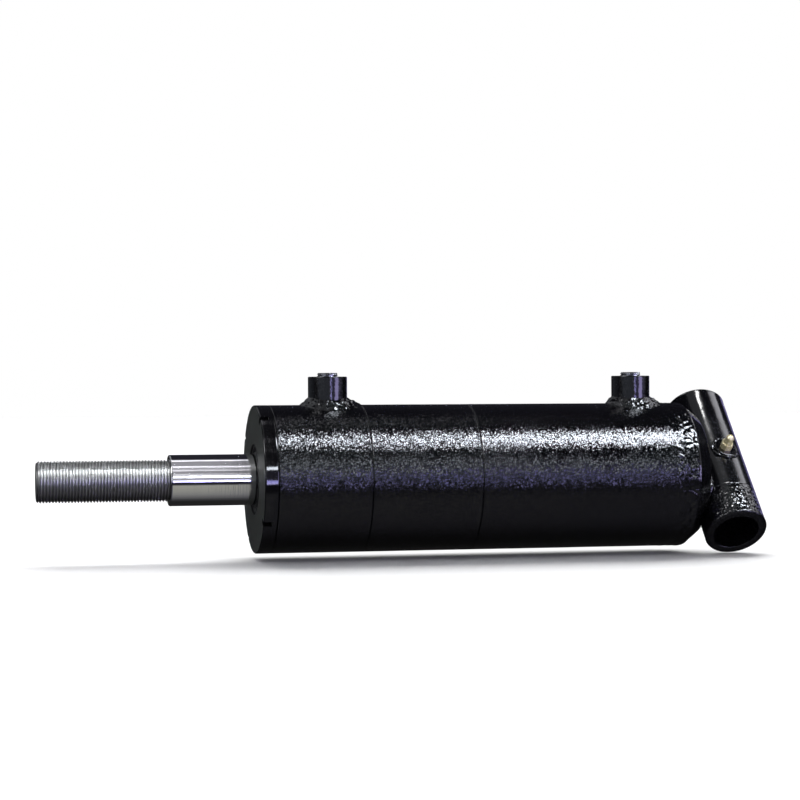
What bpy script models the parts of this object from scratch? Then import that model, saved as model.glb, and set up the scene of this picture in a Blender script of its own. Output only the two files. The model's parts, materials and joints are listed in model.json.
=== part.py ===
"""Welded double-acting hydraulic cylinder with a cross-tube base and a threaded rod end.

Units are metres, +Z is up. The cylinder lies along X: the rod points towards -X and the ports
face up. The rod is fully retracted, and the world origin is the middle of its threaded end.
The pieces are laid out from the axis of the mounting pin, which crosses the cylinder's axis:
every X below is measured from there, and an empty at that crossing carries all the pieces.
"""

import math

import bmesh
import bpy
from mathutils import Vector

# ---------------------------------------------------------------- driving sizes

GAP = 0.0003                    # clearance between neighbouring pieces
SMOOTH_ANGLE = math.radians(30)

BARREL_OD = 0.1016
BARREL_ID = 0.0889
ROD_D = 0.034925
STROKE = 0.1524
PIN_TO_FACE = 0.3343            # pin axis to the gland's front face
ROD_EXPOSED = 0.0585            # plated rod in front of the gland, retracted
ROD_THREAD_D = 0.028575
ROD_THREAD_LENGTH = 0.0889
PIN_TO_ROD_END = PIN_TO_FACE + ROD_EXPOSED + ROD_THREAD_LENGTH

PIN_TUBE_OD = 0.04445
PIN_TUBE_ID = 0.03175
PIN_TUBE_LENGTH = 0.12065
PIN_TUBE_SHIFT = 0.004          # the tube sits this far off centre, away from its lower end
PIN_CLOCKING = math.radians(45)  # slope of the pin axis below the horizontal

PORT_FROM_FACE = 0.0516
PORT_SPACING = 0.2187
PORT_BOSS_D = 0.027
PORT_BOSS_TOP = 0.0702          # height of the boss face above the cylinder's axis
PORT_THREAD_D = 0.0143
PORT_BORE_D = 0.011

GREASE_TURN = math.radians(6)   # how far the fitting leans away from the barrel

# ---------------------------------------------------------------- derived places

BARREL_R = BARREL_OD / 2
BORE_R = BARREL_ID / 2
ROD_R = ROD_D / 2
RUNNING_R = ROD_R + GAP         # everything round the rod is bored to this radius
PIN_TUBE_R = PIN_TUBE_OD / 2

FACE_X = -PIN_TO_FACE
PORT_X = {"rod": FACE_X + PORT_FROM_FACE, "base": FACE_X + PORT_FROM_FACE + PORT_SPACING}

# Gland, measured from its front face
FLANGE_LENGTH = 0.0095
GLAND_BODY_END = 0.0420
GLAND_NOSE_R = 0.0330
GLAND_BODY_R = BORE_R - GAP
RECESS_R = 0.0240
RECESS_DEPTH = 0.0060
SLOT_WIDTH = 0.0036
SLOT_LENGTH = 0.0062
SLOT_DEPTH = 0.0050
SLOT_PHASE = math.radians(56)

# Base end of the barrel
WELD_X = -0.0375                # middle of the groove weld round the barrel
WELD_HALF_TOP = 0.0060
WELD_HALF_ROOT = 0.0010
WELD_ROOT_R = 0.0463
WELD_CROWN = 0.0009
CAP_EDGE_X = -0.0293
CAP_END_X = -0.0190
CAP_CHAMFER = 0.0080
CAP_INNER_X = -0.0570
SADDLE_WELD_REACH = 0.0085
SADDLE_WELD_HALF_LENGTH = 0.0350

# Piston and the turned-down end of the rod
PISTON_BACK_X = -0.0790
PISTON_LENGTH = 0.0400
PISTON_FRONT_X = PISTON_BACK_X - PISTON_LENGTH
PISTON_R = BORE_R - 0.0008
RING_R = BORE_R - GAP
ROD_TAIL_R = 0.0127
ROD_TAIL_END_X = -0.0592
NUT_ACROSS_FLATS = 0.0381
NUT_LENGTH = 0.0190

# The piston's front comes this close to the gland's nose at full stroke
STOP_CLEARANCE = 0.0010
GLAND_NOSE_END = PISTON_FRONT_X - STROKE - STOP_CLEARANCE - FACE_X

# Grease fitting, measured outwards from the pad on the pin tube
PAD_R = 0.0085
PAD_RISE = 0.0012
HEX_ACROSS_FLATS = 0.0079
HEX_TOP = 0.0045
SHANK_R = 0.0031
SHANK_DEPTH = 0.0055
NIPPLE_TOP = 0.0112
BALL_R = 0.00125
BALL_HEIGHT = 0.0087

PIN_DIRECTION = Vector((0, -math.cos(PIN_CLOCKING), -math.sin(PIN_CLOCKING)))
PIN_SIDE = Vector((0, -math.sin(PIN_CLOCKING), math.cos(PIN_CLOCKING)))
PIN_TUBE_CENTRE = -PIN_TUBE_SHIFT * PIN_DIRECTION
GREASE_DIRECTION = math.cos(GREASE_TURN) * PIN_SIDE + math.sin(GREASE_TURN) * Vector((1, 0, 0))
GREASE_SEAT = PIN_TUBE_CENTRE + (PIN_TUBE_R + PAD_RISE) * GREASE_DIRECTION

# ---------------------------------------------------------------- materials


def make_material(name, colour, roughness, metallic):
    material = bpy.data.materials.new(name)
    material.use_nodes = True
    shader = material.node_tree.nodes["Principled BSDF"]
    shader.inputs["Base Color"].default_value = (*colour, 1)
    shader.inputs["Roughness"].default_value = roughness
    shader.inputs["Metallic"].default_value = metallic
    return material


def make_materials():
    return {
        "paint": make_material("black_paint", (0.012, 0.012, 0.014), 0.3, 0.0),
        "gland": make_material("primer_paint", (0.09, 0.10, 0.08), 0.45, 0.0),
        "chrome": make_material("hard_chrome", (0.72, 0.71, 0.69), 0.15, 1.0),
        "steel": make_material("machined_steel", (0.45, 0.45, 0.44), 0.35, 1.0),
        "iron": make_material("ductile_iron", (0.20, 0.20, 0.20), 0.5, 1.0),
        "zinc": make_material("yellow_zinc", (0.72, 0.58, 0.28), 0.3, 1.0),
        "rubber": make_material("black_rubber", (0.015, 0.015, 0.015), 0.6, 0.0),
        "urethane": make_material("blue_urethane", (0.02, 0.10, 0.28), 0.45, 0.0),
        "nylon": make_material("filled_nylon", (0.25, 0.17, 0.07), 0.5, 0.0),
    }


# ---------------------------------------------------------------- modelling tools


def add_object(name, mesh_builder, material):
    """Turn a finished bmesh into a smooth-shaded object with one material."""
    bmesh.ops.recalc_face_normals(mesh_builder, faces=mesh_builder.faces)
    mesh = bpy.data.meshes.new(name)
    mesh_builder.to_mesh(mesh)
    mesh_builder.free()
    mesh.shade_smooth()
    mesh.set_sharp_from_angle(angle=SMOOTH_ANGLE)
    mesh.materials.append(material)
    piece = bpy.data.objects.new(name, mesh)
    bpy.context.collection.objects.link(piece)
    return piece


def turned(name, outline, material, steps=48):
    """Turn a closed outline of (distance along X, radius) points about the X axis."""
    builder = bmesh.new()
    corners = [builder.verts.new((along, radius, 0)) for along, radius in outline]
    for start, end in zip(corners, corners[1:] + corners[:1]):
        if start.co.y > 0 or end.co.y > 0:
            builder.edges.new((start, end))
    bmesh.ops.spin(builder, geom=builder.verts[:] + builder.edges[:], cent=(0, 0, 0),
                   axis=(1, 0, 0), angle=math.tau, steps=steps, use_merge=True)
    bmesh.ops.remove_doubles(builder, verts=builder.verts, dist=1e-6)
    return add_object(name, builder, material)


def prism(name, corners, along, material):
    """Extrude a flat outline of 3-D corners by the vector along."""
    builder = bmesh.new()
    base = builder.faces.new([builder.verts.new(corner) for corner in corners])
    extruded = bmesh.ops.extrude_face_region(builder, geom=[base], use_keep_orig=True)
    moved = [item for item in extruded["geom"] if isinstance(item, bmesh.types.BMVert)]
    bmesh.ops.translate(builder, verts=moved, vec=along)
    return add_object(name, builder, material)


def skinned_ring(name, sections, material):
    """Join equal cross-sections, one after the other and round to the first, into one body."""
    builder = bmesh.new()
    rings = [[builder.verts.new(point) for point in section] for section in sections]
    count = len(rings[0])
    for ring, following in zip(rings, rings[1:] + rings[:1]):
        for index in range(count):
            after = (index + 1) % count
            builder.faces.new((ring[index], ring[after], following[after], following[index]))
    return add_object(name, builder, material)


def skinned_rod(name, sections, material):
    """Join equal cross-sections into a body with two flat ends."""
    builder = bmesh.new()
    rings = [[builder.verts.new(point) for point in section] for section in sections]
    count = len(rings[0])
    for ring, following in zip(rings, rings[1:]):
        for index in range(count):
            after = (index + 1) % count
            builder.faces.new((ring[index], ring[after], following[after], following[index]))
    builder.faces.new(reversed(rings[0]))
    builder.faces.new(rings[-1])
    return add_object(name, builder, material)


def aim(piece, direction, location):
    """Point the piece's own X axis along a direction and put its origin at a location."""
    piece.rotation_euler = direction.to_track_quat("X", "Z").to_euler()
    piece.location = location
    return piece


def change_shape(piece, tool, operation):
    tool.hide_render = True
    tool.display_type = "WIRE"
    modifier = piece.modifiers.new(tool.name, "BOOLEAN")
    modifier.operation = operation
    modifier.object = tool


def cut(piece, tool):
    change_shape(piece, tool, "DIFFERENCE")


def fuse(piece, tool):
    change_shape(piece, tool, "UNION")


def cylinder_outline(start, end, radius):
    return [(start, 0), (start, radius), (end, radius), (end, 0)]


def ring_outline(start, end, inner, outer, chamfer=0.0):
    """Rectangular ring section whose outer corners may be chamfered."""
    if chamfer == 0:
        return [(start, inner), (start, outer), (end, outer), (end, inner)]
    return [
        (start, inner),
        (start, outer - chamfer),
        (start + chamfer, outer),
        (end - chamfer, outer),
        (end, outer - chamfer),
        (end, inner),
    ]


def round_section(along, radius, size, points=6):
    """Circle of the given radius round the point (along, radius) of an outline."""
    angles = [math.tau * index / points for index in range(points)]
    return [(along + size * math.cos(angle), radius + size * math.sin(angle)) for angle in angles]


# ---------------------------------------------------------------- barrel and base


def make_barrel_tube(paint):
    """Tube with a bevelled base end for the groove weld and a hole under each port."""
    root_x = WELD_X - WELD_HALF_ROOT
    outline = [
        (FACE_X + FLANGE_LENGTH + GAP, BORE_R),
        (FACE_X + FLANGE_LENGTH + GAP, BARREL_R),
        (WELD_X - WELD_HALF_TOP, BARREL_R),
        (root_x, WELD_ROOT_R),
        (root_x, BORE_R),
    ]
    tube = turned("barrel_tube", outline, paint)
    for end, port_x in PORT_X.items():
        depth = BARREL_R - BORE_R
        hole = cylinder_outline(BORE_R - depth, BARREL_R + depth, PORT_BORE_D / 2)
        cut(tube, aim(turned(end + "_port_hole", hole, paint, 24), Vector((0, 0, 1)), (port_x, 0, 0)))


def make_base_cap(paint):
    """Plug in the barrel's end: spigot, bevelled flange, chamfered end with a saddle."""
    outline = [
        (CAP_INNER_X, 0),
        (CAP_INNER_X, GLAND_BODY_R - 0.001),
        (CAP_INNER_X + 0.001, GLAND_BODY_R),
        (WELD_X + WELD_HALF_ROOT, GLAND_BODY_R),
        (WELD_X + WELD_HALF_ROOT, WELD_ROOT_R),
        (WELD_X + WELD_HALF_TOP, BARREL_R),
        (CAP_EDGE_X, BARREL_R),
        (CAP_EDGE_X + CAP_CHAMFER, BARREL_R - CAP_CHAMFER),
        (CAP_END_X, BARREL_R - CAP_CHAMFER),
        (CAP_END_X, 0),
    ]
    cap = turned("base_cap", outline, paint)
    saddle = cylinder_outline(-PIN_TUBE_LENGTH, PIN_TUBE_LENGTH, PIN_TUBE_R + GAP)
    cut(cap, aim(turned("saddle_cutter", saddle, paint), PIN_DIRECTION, (0, 0, 0)))


def make_groove_weld(paint):
    """Bead in the V groove between tube and cap, slightly proud of both."""
    side_shift = 0.0005
    top = WELD_HALF_TOP - side_shift
    root = WELD_HALF_ROOT - GAP
    outline = [
        (WELD_X - root, WELD_ROOT_R),
        (WELD_X - top, BARREL_R),
        (WELD_X - top / 2, BARREL_R + WELD_CROWN),
        (WELD_X + top / 2, BARREL_R + WELD_CROWN),
        (WELD_X + top, BARREL_R),
        (WELD_X + root, WELD_ROOT_R),
    ]
    turned("barrel_weld", outline, paint)


def make_pin_tube(paint):
    """Cross tube for the mounting pin, with a pad and a stepped hole for the grease fitting."""
    half = PIN_TUBE_LENGTH / 2
    chamfer = 0.0010
    inner = PIN_TUBE_ID / 2
    outline = [
        (-half, inner + chamfer),
        (-half, PIN_TUBE_R - chamfer),
        (chamfer - half, PIN_TUBE_R),
        (half - chamfer, PIN_TUBE_R),
        (half, PIN_TUBE_R - chamfer),
        (half, inner + chamfer),
        (half - chamfer, inner),
        (chamfer - half, inner),
    ]
    tube = aim(turned("pin_tube", outline, paint), PIN_DIRECTION, PIN_TUBE_CENTRE)
    pad = cylinder_outline((inner + PIN_TUBE_R) / 2, PIN_TUBE_R + PAD_RISE, PAD_R)
    fuse(tube, aim(turned("pad_tool", pad, paint, 32), GREASE_DIRECTION, PIN_TUBE_CENTRE))
    seat = PIN_TUBE_R + PAD_RISE
    hole = [
        (inner / 2, 0),
        (inner / 2, SHANK_R / 2),
        (seat - SHANK_DEPTH - GAP, SHANK_R / 2),
        (seat - SHANK_DEPTH - GAP, SHANK_R + GAP),
        (seat + GAP, SHANK_R + GAP),
        (seat + GAP, 0),
    ]
    cut(tube, aim(turned("grease_hole", hole, paint, 24), GREASE_DIRECTION, PIN_TUBE_CENTRE))


def make_saddle_weld(name, side, paint):
    """Fillet between the cap's end and one side of the pin tube."""
    land_x = CAP_END_X + GAP
    radius = PIN_TUBE_R + 1.3 * GAP
    start_angle = math.acos(-land_x / radius)
    sweep = 0.36
    points = [(land_x, radius * math.sin(start_angle) + SADDLE_WELD_REACH)]
    points.append((land_x, radius * math.sin(start_angle)))
    for step in (1, 2, 3):
        angle = start_angle + sweep * step / 3
        points.append((-radius * math.cos(angle), radius * math.sin(angle)))
    middle_x = (points[0][0] + points[-1][0]) / 2
    middle_side = (points[0][1] + points[-1][1]) / 2
    points.append((middle_x + 0.0005, middle_side + 0.0009))
    start = -SADDLE_WELD_HALF_LENGTH * PIN_DIRECTION
    corners = [start + Vector((x, 0, 0)) + side * distance * PIN_SIDE for x, distance in points]
    prism(name, corners, 2 * SADDLE_WELD_HALF_LENGTH * PIN_DIRECTION, paint)


# ---------------------------------------------------------------- ports


def make_port_boss(name, port_x, paint):
    """Round boss standing on the barrel, its foot cut to the barrel's curve."""
    floor = PORT_BOSS_TOP - 0.0100
    chamfer = 0.0006
    thread_r = PORT_THREAD_D / 2 + GAP
    outline = [
        (BARREL_R - 0.004, PORT_BORE_D / 2),
        (BARREL_R - 0.004, PORT_BOSS_D / 2),
        (PORT_BOSS_TOP - chamfer, PORT_BOSS_D / 2),
        (PORT_BOSS_TOP, PORT_BOSS_D / 2 - chamfer),
        (PORT_BOSS_TOP, thread_r + chamfer),
        (PORT_BOSS_TOP - chamfer, thread_r),
        (floor, thread_r),
        (floor, PORT_BORE_D / 2),
    ]
    boss = aim(turned(name, outline, paint, 32), Vector((0, 0, 1)), (port_x, 0, 0))
    foot = cylinder_outline(-PORT_BOSS_D, PORT_BOSS_D, BARREL_R + GAP)
    foot_tool = turned(name + "_foot_tool", foot, paint, 96)
    foot_tool.location = (port_x, 0, 0)
    cut(boss, foot_tool)


def make_port_weld(name, port_x, paint, steps=36):
    """Fillet weld round a boss, following the barrel's curve."""
    inner = PORT_BOSS_D / 2 + GAP
    spread = 0.0065
    height = 0.0062
    profile = [(0, 0), (spread / 2, 0), (spread, 0), (spread, 0.0007), (spread / 2, 0.45 * height), (0, height)]
    sections = []
    for step in range(steps):
        angle = math.tau * step / steps
        section = []
        for out, rise in profile:
            x = (inner + out) * math.cos(angle)
            y = (inner + out) * math.sin(angle)
            section.append((x, y, math.sqrt((BARREL_R + GAP) ** 2 - y * y) + rise))
        sections.append(section)
    skinned_ring(name, sections, paint).location = (port_x, 0, 0)


def make_port_plug(name, port_x, steel):
    """Headless threaded plug with a hexagon socket, standing a little proud of the boss."""
    bottom = PORT_BOSS_TOP - 0.0100 + GAP
    top = PORT_BOSS_TOP + 0.0026
    chamfer = 0.0008
    radius = PORT_THREAD_D / 2
    outline = [
        (bottom, 0),
        (bottom, radius - chamfer),
        (bottom + chamfer, radius),
        (top - chamfer, radius),
        (top, radius - chamfer),
        (top, 0),
    ]
    plug = aim(turned(name, outline, steel, 32), Vector((0, 0, 1)), (port_x, 0, 0))
    socket_r = 0.00635 / math.sqrt(3)
    socket = turned(name + "_socket_tool", cylinder_outline(top - 0.005, top + 0.002, socket_r), steel, 6)
    cut(plug, aim(socket, Vector((0, 0, 1)), (port_x, 0, 0)))


# ---------------------------------------------------------------- gland and its seals


def make_gland(material):
    """Screwed-in head: flange with spanner slots, wiper recess, grooved body and nose."""
    chamfer = 0.0010
    neck = GLAND_BODY_R
    outline = [
        (0, RECESS_R),
        (0, BARREL_R - chamfer),
        (chamfer, BARREL_R),
        (FLANGE_LENGTH, BARREL_R),
        (FLANGE_LENGTH, neck),
        (0.0290, neck),
        (0.0290, neck - 0.0042),
        (0.0365, neck - 0.0042),
        (0.0365, neck),
        (GLAND_BODY_END, neck),
        (GLAND_BODY_END, GLAND_NOSE_R),
        (GLAND_NOSE_END, GLAND_NOSE_R),
        (GLAND_NOSE_END, RUNNING_R),
        (0.0565, RUNNING_R),
        (0.0565, RUNNING_R + 0.0028),
        (0.0462, RUNNING_R + 0.0028),
        (0.0462, RUNNING_R),
        (0.0250, RUNNING_R),
        (0.0250, RUNNING_R + 0.0060),
        (0.0148, RUNNING_R + 0.0060),
        (0.0148, RUNNING_R),
        (RECESS_DEPTH, RUNNING_R),
        (RECESS_DEPTH, RECESS_R),
    ]
    gland = turned("gland", outline, material)
    gland.location = (FACE_X, 0, 0)
    half = SLOT_WIDTH / 2
    for index in range(4):
        angle = SLOT_PHASE + math.tau * index / 4
        outward = Vector((0, -math.cos(angle), math.sin(angle)))
        across = Vector((0, math.sin(angle), math.cos(angle)))
        start = Vector((FACE_X - SLOT_LENGTH, 0, 0)) + (BARREL_R - SLOT_DEPTH) * outward
        deep = 2 * SLOT_DEPTH * outward
        corners = [start - half * across, start + half * across,
                   start + half * across + deep, start - half * across + deep]
        along = Vector((2 * SLOT_LENGTH, 0, 0))
        cut(gland, prism("slot_tool_%d" % (index + 1), corners, along, material))


def make_gland_seals(materials):
    """Rings held by the gland; each stands off its groove and the rod by the clearance."""
    body_floor = GLAND_BODY_R - 0.0042
    lip = RUNNING_R + 0.0012
    wiper = [
        (0.0005, RUNNING_R),
        (0.0005, RUNNING_R + 0.0006),
        (0.0026, lip),
        (0.0026, RECESS_R - 0.0016),
        (0.0011, RECESS_R - 0.0008),
        (0.0011, RECESS_R - GAP),
        (RECESS_DEPTH - GAP, RECESS_R - GAP),
        (RECESS_DEPTH - GAP, RUNNING_R),
    ]
    cup = [
        (0.0152, RUNNING_R),
        (0.0152, RUNNING_R + 0.0057),
        (0.0246, RUNNING_R + 0.0057),
        (0.0200, RUNNING_R + 0.0029),
        (0.0246, RUNNING_R),
    ]
    o_ring = round_section(0.0333, body_floor + 0.0021, 0.0018)
    backup = ring_outline(0.0293, 0.0310, body_floor + GAP, GLAND_BODY_R - GAP)
    guide = ring_outline(0.0465, 0.0562, RUNNING_R, RUNNING_R + 0.0025)
    rings = [
        turned("rod_wiper", wiper, materials["rubber"], 40),
        turned("rod_seal", cup, materials["urethane"], 40),
        turned("gland_o_ring", o_ring, materials["rubber"], 40),
        turned("gland_backup_ring", backup, materials["nylon"], 40),
        turned("rod_guide_ring", guide, materials["nylon"], 40),
    ]
    for ring in rings:
        ring.location = (FACE_X, 0, 0)


# ---------------------------------------------------------------- rod and piston


def make_rod(chrome):
    """Plated rod with a threaded front end and a turned-down tail for the piston."""
    shoulder_x = FACE_X - ROD_EXPOSED
    tip_x = -PIN_TO_ROD_END
    chamfer = 0.0015
    outline = [
        (tip_x, 0),
        (tip_x, ROD_THREAD_D / 2 - chamfer),
        (tip_x + chamfer, ROD_THREAD_D / 2),
        (shoulder_x, ROD_THREAD_D / 2),
        (shoulder_x, ROD_R - chamfer),
        (shoulder_x + chamfer, ROD_R),
        (PISTON_FRONT_X - GAP, ROD_R),
        (PISTON_FRONT_X - GAP, ROD_TAIL_R),
        (ROD_TAIL_END_X - chamfer, ROD_TAIL_R),
        (ROD_TAIL_END_X, ROD_TAIL_R - chamfer),
        (ROD_TAIL_END_X, 0),
    ]
    turned("rod", outline, chrome, 40)


def make_piston(iron):
    """Piston with a groove for each guide ring, one for the seal and one in its bore."""
    grooves = [(0.0035, 0.0100, 0.0024), (0.0150, 0.0250, 0.0060), (0.0300, 0.0365, 0.0024)]
    bore = ROD_TAIL_R + GAP
    outline = [(0, bore), (0, PISTON_R - 0.001), (0.001, PISTON_R)]
    for start, end, depth in grooves:
        outline += [(start, PISTON_R), (start, PISTON_R - depth), (end, PISTON_R - depth), (end, PISTON_R)]
    outline += [
        (PISTON_LENGTH - 0.001, PISTON_R),
        (PISTON_LENGTH, PISTON_R - 0.001),
        (PISTON_LENGTH, bore),
        (0.0225, bore),
        (0.0225, bore + 0.0028),
        (0.0185, bore + 0.0028),
        (0.0185, bore),
    ]
    turned("piston", outline, iron).location = (PISTON_FRONT_X, 0, 0)


def make_piston_rings(materials):
    """Guide rings and seal that slide in the barrel, and the O-ring under the piston."""
    guide_inner = PISTON_R - 0.0024 + GAP
    seal_inner = PISTON_R - 0.0060 + GAP
    front = ring_outline(0.0038, 0.0097, guide_inner, RING_R, 0.0004)
    rear = ring_outline(0.0303, 0.0362, guide_inner, RING_R, 0.0004)
    seal = ring_outline(0.0153, 0.0247, seal_inner, RING_R, 0.0010)
    o_ring = round_section(0.0205, ROD_TAIL_R + GAP + 0.0015, 0.0012)
    rings = [
        turned("piston_guide_front", front, materials["nylon"]),
        turned("piston_guide_rear", rear, materials["nylon"]),
        turned("piston_seal", seal, materials["urethane"]),
        turned("piston_o_ring", o_ring, materials["rubber"], 32),
    ]
    for ring in rings:
        ring.location = (PISTON_FRONT_X, 0, 0)


def make_lock_nut(steel):
    """Hexagon nut that holds the piston on the rod's tail."""
    start = PISTON_BACK_X + GAP
    corner_r = NUT_ACROSS_FLATS / math.sqrt(3)
    nut = turned("piston_nut", cylinder_outline(start, start + NUT_LENGTH, corner_r), steel, 6)
    bore = cylinder_outline(start - 0.005, start + NUT_LENGTH + 0.005, ROD_TAIL_R + GAP)
    cut(nut, turned("nut_bore_tool", bore, steel, 48))


# ---------------------------------------------------------------- grease fitting


def make_grease_fitting(zinc):
    """Nipple with a hexagon base; a passage runs from its tip to the bottom of its shank."""
    outline = [
        (-SHANK_DEPTH, 0.0009),
        (-SHANK_DEPTH, SHANK_R),
        (HEX_TOP, SHANK_R),
        (HEX_TOP + 0.0014, 0.0026),
        (0.0077, 0.0033),
        (0.0090, 0.0033),
        (NIPPLE_TOP, 0.0020),
        (NIPPLE_TOP, 0.0010),
        (0.0104, 0.0010),
        (0.0102, 0.00175),
        (0.0020, 0.00175),
        (0.0020, 0.0009),
    ]
    fitting = aim(turned("grease_fitting", outline, zinc, 24), GREASE_DIRECTION, GREASE_SEAT)
    corner_r = HEX_ACROSS_FLATS / math.sqrt(3)
    hexagon = ring_outline(GAP, HEX_TOP, 0.0024, corner_r)
    fuse(fitting, aim(turned("hexagon_tool", hexagon, zinc, 6), GREASE_DIRECTION, GREASE_SEAT))


def make_check_ball(steel):
    """Ball that closes the nipple's tip and moves in when grease is pumped."""
    half_turn = [math.pi * step / 8 for step in range(9)]
    outline = [(-BALL_R * math.cos(angle), BALL_R * math.sin(angle)) for angle in half_turn]
    outline[0] = (-BALL_R, 0)
    outline[-1] = (BALL_R, 0)
    centre = GREASE_SEAT + BALL_HEIGHT * GREASE_DIRECTION
    aim(turned("grease_ball", outline, steel, 16), GREASE_DIRECTION, centre)


def make_check_spring(steel):
    """Coil under the ball, drawn short of it by the ball's travel."""
    wire_r = 0.00018
    coil_r = 0.00125
    bottom = 0.0023
    top = 0.0064
    turns = 4
    steps_per_turn = 12
    sides = 5
    sections = []
    for step in range(turns * steps_per_turn + 1):
        angle = math.tau * step / steps_per_turn
        height = bottom + (top - bottom) * step / (turns * steps_per_turn)
        outward = Vector((0, math.cos(angle), math.sin(angle)))
        centre = Vector((height, 0, 0)) + coil_r * outward
        corners = [math.tau * corner / sides for corner in range(sides)]
        sections.append([
            centre + wire_r * (math.cos(turn) * outward + math.sin(turn) * Vector((1, 0, 0)))
            for turn in corners
        ])
    aim(skinned_rod("grease_spring", sections, steel), GREASE_DIRECTION, GREASE_SEAT)


# ---------------------------------------------------------------- assembly


def clear_scene():
    for item in list(bpy.data.objects):
        bpy.data.objects.remove(item, do_unlink=True)


def hang_on_pin_axis():
    """Parent every piece and tool to one empty, placed so that the rod's end is at the origin."""
    pin_axis = bpy.data.objects.new("pin_axis", None)
    for item in list(bpy.data.objects):
        if item is not pin_axis:
            item.parent = pin_axis
    bpy.context.collection.objects.link(pin_axis)
    pin_axis.location = (PIN_TO_ROD_END, 0, 0)


def build():
    clear_scene()
    materials = make_materials()
    make_barrel_tube(materials["paint"])
    make_base_cap(materials["paint"])
    make_groove_weld(materials["paint"])
    make_pin_tube(materials["paint"])
    make_saddle_weld("pin_tube_weld_upper", 1, materials["paint"])
    make_saddle_weld("pin_tube_weld_lower", -1, materials["paint"])
    for end, port_x in PORT_X.items():
        make_port_boss(end + "_port_boss", port_x, materials["paint"])
        make_port_weld(end + "_port_weld", port_x, materials["paint"])
        make_port_plug(end + "_port_plug", port_x, materials["steel"])
    make_gland(materials["gland"])
    make_gland_seals(materials)
    make_rod(materials["chrome"])
    make_piston(materials["iron"])
    make_piston_rings(materials)
    make_lock_nut(materials["steel"])
    make_grease_fitting(materials["zinc"])
    make_check_ball(materials["steel"])
    make_check_spring(materials["steel"])
    hang_on_pin_axis()


build()
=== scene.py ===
"""Looks of a welded hydraulic cylinder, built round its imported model.

Units are metres, +Z is up. The rod points towards -X and the ports face up.
"""

import json
import math

import bmesh
import bpy
from mathutils import Matrix, Vector, noise


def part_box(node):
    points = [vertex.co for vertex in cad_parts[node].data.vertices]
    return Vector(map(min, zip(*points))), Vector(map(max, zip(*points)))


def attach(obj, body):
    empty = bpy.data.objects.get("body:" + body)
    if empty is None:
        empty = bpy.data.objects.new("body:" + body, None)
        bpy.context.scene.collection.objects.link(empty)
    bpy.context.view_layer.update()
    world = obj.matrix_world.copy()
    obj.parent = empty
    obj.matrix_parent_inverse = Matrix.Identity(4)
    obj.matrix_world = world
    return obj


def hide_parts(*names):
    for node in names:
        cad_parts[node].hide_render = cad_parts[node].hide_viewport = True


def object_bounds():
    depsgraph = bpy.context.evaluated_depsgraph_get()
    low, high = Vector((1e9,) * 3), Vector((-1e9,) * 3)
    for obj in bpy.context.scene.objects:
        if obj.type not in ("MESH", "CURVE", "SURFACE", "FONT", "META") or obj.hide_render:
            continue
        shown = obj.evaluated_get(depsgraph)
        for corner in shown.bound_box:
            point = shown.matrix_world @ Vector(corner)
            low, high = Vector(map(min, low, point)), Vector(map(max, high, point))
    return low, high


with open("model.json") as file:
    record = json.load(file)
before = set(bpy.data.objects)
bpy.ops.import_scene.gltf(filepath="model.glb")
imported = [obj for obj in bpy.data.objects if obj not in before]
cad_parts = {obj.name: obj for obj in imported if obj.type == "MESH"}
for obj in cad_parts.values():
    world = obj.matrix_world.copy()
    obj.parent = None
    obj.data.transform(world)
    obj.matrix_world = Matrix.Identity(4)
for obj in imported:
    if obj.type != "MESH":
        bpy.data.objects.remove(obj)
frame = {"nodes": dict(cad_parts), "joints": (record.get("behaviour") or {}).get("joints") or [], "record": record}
CAD_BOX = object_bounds()

# ---------------------------------------------------------------- places read from the frame

mounts = {mount["name"]: mount for mount in frame["record"]["mounts"]}
joints = {joint["name"]: joint for joint in frame["joints"]}


def low(node):
    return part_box(node)[0]


def high(node):
    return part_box(node)[1]


def middle(node):
    return (low(node) + high(node)) / 2


BARREL_R = high("barrel_tube").y
FACE_X = low("gland").x
FLANGE_END_X = low("barrel_tube").x
PIN_X = middle("pin_tube").x
PIN_TUBE_R = high("pin_tube").x - PIN_X
ROD_R = -low("rod").z
SHOULDER_X = mounts["rod_shoulder"]["pos_m"][0]
TIP_X = low("rod").x
PORT_X = {"rod": middle("rod_port_boss").x, "base": middle("base_port_boss").x}
BOSS_R = high("rod_port_boss").x - PORT_X["rod"]
BOSS_TOP = high("rod_port_boss").z
PLUG_TOP = high("rod_port_plug").z
PLUG_R = high("rod_port_plug").x - PORT_X["rod"]
CAP_END_X = high("base_cap").x
CAP_INNER_X = low("base_cap").x

PIN_DIRECTION = Vector(mounts["pin_tube_lower_end"]["axis"]).normalized()
PIN_SIDE = PIN_DIRECTION.cross(Vector((1, 0, 0)))
LOWER_END = Vector(mounts["pin_tube_lower_end"]["pos_m"]).dot(PIN_DIRECTION)
UPPER_END = Vector(mounts["pin_tube_upper_end"]["pos_m"]).dot(PIN_DIRECTION)
PIN_TUBE_CENTRE = Vector((PIN_X, 0, 0)) + (LOWER_END + UPPER_END) / 2 * PIN_DIRECTION
GREASE_DIRECTION = -Vector(joints["grease_ball_press"]["axis"]).normalized()

# ---------------------------------------------------------------- sizes the frame doesn't name

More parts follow.
